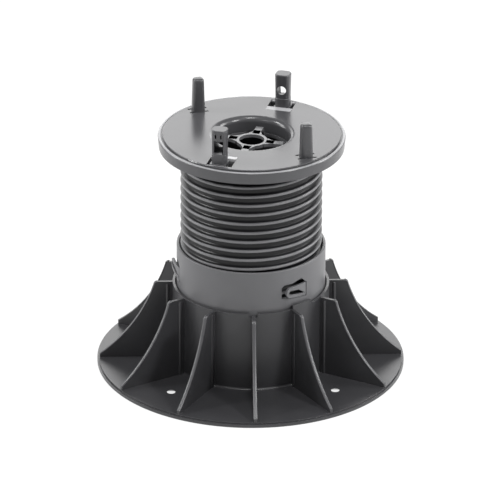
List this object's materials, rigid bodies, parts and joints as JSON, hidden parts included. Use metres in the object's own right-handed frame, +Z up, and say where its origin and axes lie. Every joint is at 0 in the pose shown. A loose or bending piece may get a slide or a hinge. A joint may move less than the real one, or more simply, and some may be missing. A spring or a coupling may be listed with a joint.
{
  "type": "decking pedestal",
  "caption": "Height-adjustable deck support: ribbed round foot, turning collar nut, threaded riser and a round head with upstands that space and hold a joist.",
  "frame": {"origin": "centre of the foot's underside", "axes": "+Z up along the riser's axis; +X and +Y level, a rib of the foot lies along each"},
  "size_m": [0.2, 0.2, 0.185],
  "materials": {
    "foot_plastic": "injection-moulded polypropylene, charcoal, satin",
    "collar_plastic": "injection-moulded polypropylene, charcoal, satin",
    "riser_plastic": "injection-moulded polypropylene, charcoal, semi-gloss",
    "head_plastic": "injection-moulded polypropylene, charcoal, satin",
    "upstand_plastic": "injection-moulded polypropylene, charcoal, satin"
  },
  "bodies": {
    "foot": {"base_foot": "foot_plastic"},
    "collar": {"adjusting_collar": "collar_plastic"},
    "lift": {"riser_tube": "riser_plastic", "head_plate": "head_plastic", "spacer_pin_1": "upstand_plastic", "spacer_pin_2": "upstand_plastic", "eyelet_post_1": "upstand_plastic", "eyelet_post_2": "upstand_plastic"},
    "lever_1": {"lock_lever_1": "collar_plastic"},
    "lever_2": {"lock_lever_2": "collar_plastic"},
    "lever_3": {"lock_lever_3": "collar_plastic"}
  },
  "joints": [
    {"name": "collar_turn", "type": "hinge", "parent": "foot", "child": "collar", "pos_m": [0, 0, 0.05], "axis": [0, 0, 1], "range_deg": [-900, 1350]},
    {"name": "riser_lift", "type": "slide", "parent": "foot", "child": "lift", "axis": [0, 0, 1], "range_m": [-0.024, 0.016]},
    {"name": "lever_press_1", "type": "hinge", "parent": "collar", "child": "lever_1", "pos_m": [0.03338, -0.03351, 0.068], "axis": [0, 0, -1], "range_deg": [0, 11.5], "stiffness_Nm_per_rad": 0.02},
    {"name": "lever_press_2", "type": "hinge", "parent": "collar", "child": "lever_2", "pos_m": [0.01233, 0.04566, 0.068], "axis": [0, 0, -1], "range_deg": [0, 11.5], "stiffness_Nm_per_rad": 0.02},
    {"name": "lever_press_3", "type": "hinge", "parent": "collar", "child": "lever_3", "pos_m": [-0.04571, -0.01215, 0.068], "axis": [0, 0, -1], "range_deg": [0, 11.5], "stiffness_Nm_per_rad": 0.02}
  ],
  "couplings": [
    {"joint": "collar_turn", "follows": "riser_lift", "rad_per_m": -981.75}
  ]
}
